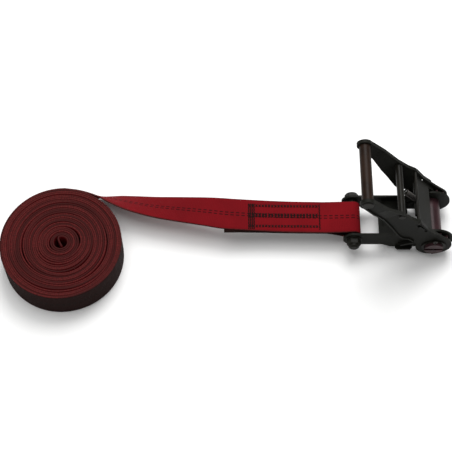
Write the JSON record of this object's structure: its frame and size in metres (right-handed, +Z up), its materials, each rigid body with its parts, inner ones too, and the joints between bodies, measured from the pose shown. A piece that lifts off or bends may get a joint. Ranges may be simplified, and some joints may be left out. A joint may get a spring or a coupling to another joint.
{
  "type": "ratchet strap",
  "caption": "Endless ratchet strap: a dark steel hand ratchet with red webbing sewn round its fixed bolt and wound into a flat roll.",
  "frame": {"origin": "middle of the bottom of the whole object, on the floor it lies on", "axes": "+X from the rolled webbing to the ratchet, +Z up"},
  "size_m": [0.652, 0.1874, 0.1773],
  "materials": {
    "webbing": "woven red polyester",
    "frame_steel": "black coated steel plate",
    "pawl_steel": "black coated steel plate",
    "spool_steel": "black oxide steel",
    "grip_steel": "satin black coated tube",
    "bolt_steel": "black oxide steel",
    "spring_steel": "dark spring wire"
  },
  "bodies": {
    "root": {"webbing_roll": "webbing", "webbing_span": "webbing", "webbing_eye": "webbing", "base_plate_far": "frame_steel", "base_plate_near": "frame_steel", "base_web": "frame_steel", "strap_bolt": "bolt_steel", "strap_bolt_nut": "bolt_steel", "strap_bolt_washers": "bolt_steel", "strap_bolt_spacer": "bolt_steel", "locking_pawl_spring": "spring_steel"},
    "locking_pawl": {"locking_pawl": "pawl_steel"},
    "spool": {"half_moon_shaft_upper": "spool_steel", "half_moon_shaft_lower": "spool_steel", "ratchet_wheel_far": "spool_steel", "ratchet_wheel_near": "spool_steel", "spool_end_washers": "bolt_steel", "cotter_pins": "spring_steel"},
    "handle": {"handle_plate_far": "frame_steel", "handle_plate_near": "frame_steel", "grip_bolt": "bolt_steel", "grip_sleeve": "grip_steel", "handle_cross_bar": "bolt_steel", "handle_stop_rod": "bolt_steel", "drive_pawl_spring": "spring_steel"},
    "drive_pawl": {"drive_pawl": "pawl_steel"}
  },
  "joints": [
    {"name": "handle_swing", "type": "hinge", "parent": "root", "child": "handle", "pos_m": [0.297, 0.03975, 0.029], "axis": [0, 1, 0], "range_deg": [-30, 120]},
    {"name": "spool_turn", "type": "hinge", "parent": "root", "child": "spool", "pos_m": [0.297, 0.03975, 0.029], "axis": [0, 1, 0], "continuous": true},
    {"name": "locking_pawl_slide", "type": "slide", "parent": "root", "child": "locking_pawl", "axis": [-0.9135, 0, -0.4067], "range_m": [-0.0041, 0.0014], "stiffness_N_per_m": 1500, "deforming": ["locking_pawl_spring"]},
    {"name": "drive_pawl_slide", "type": "slide", "parent": "handle", "child": "drive_pawl", "axis": [-0.6293, 0, 0.7771], "range_m": [-0.006, 0.002], "stiffness_N_per_m": 1500, "deforming": ["drive_pawl_spring"]}
  ]
}
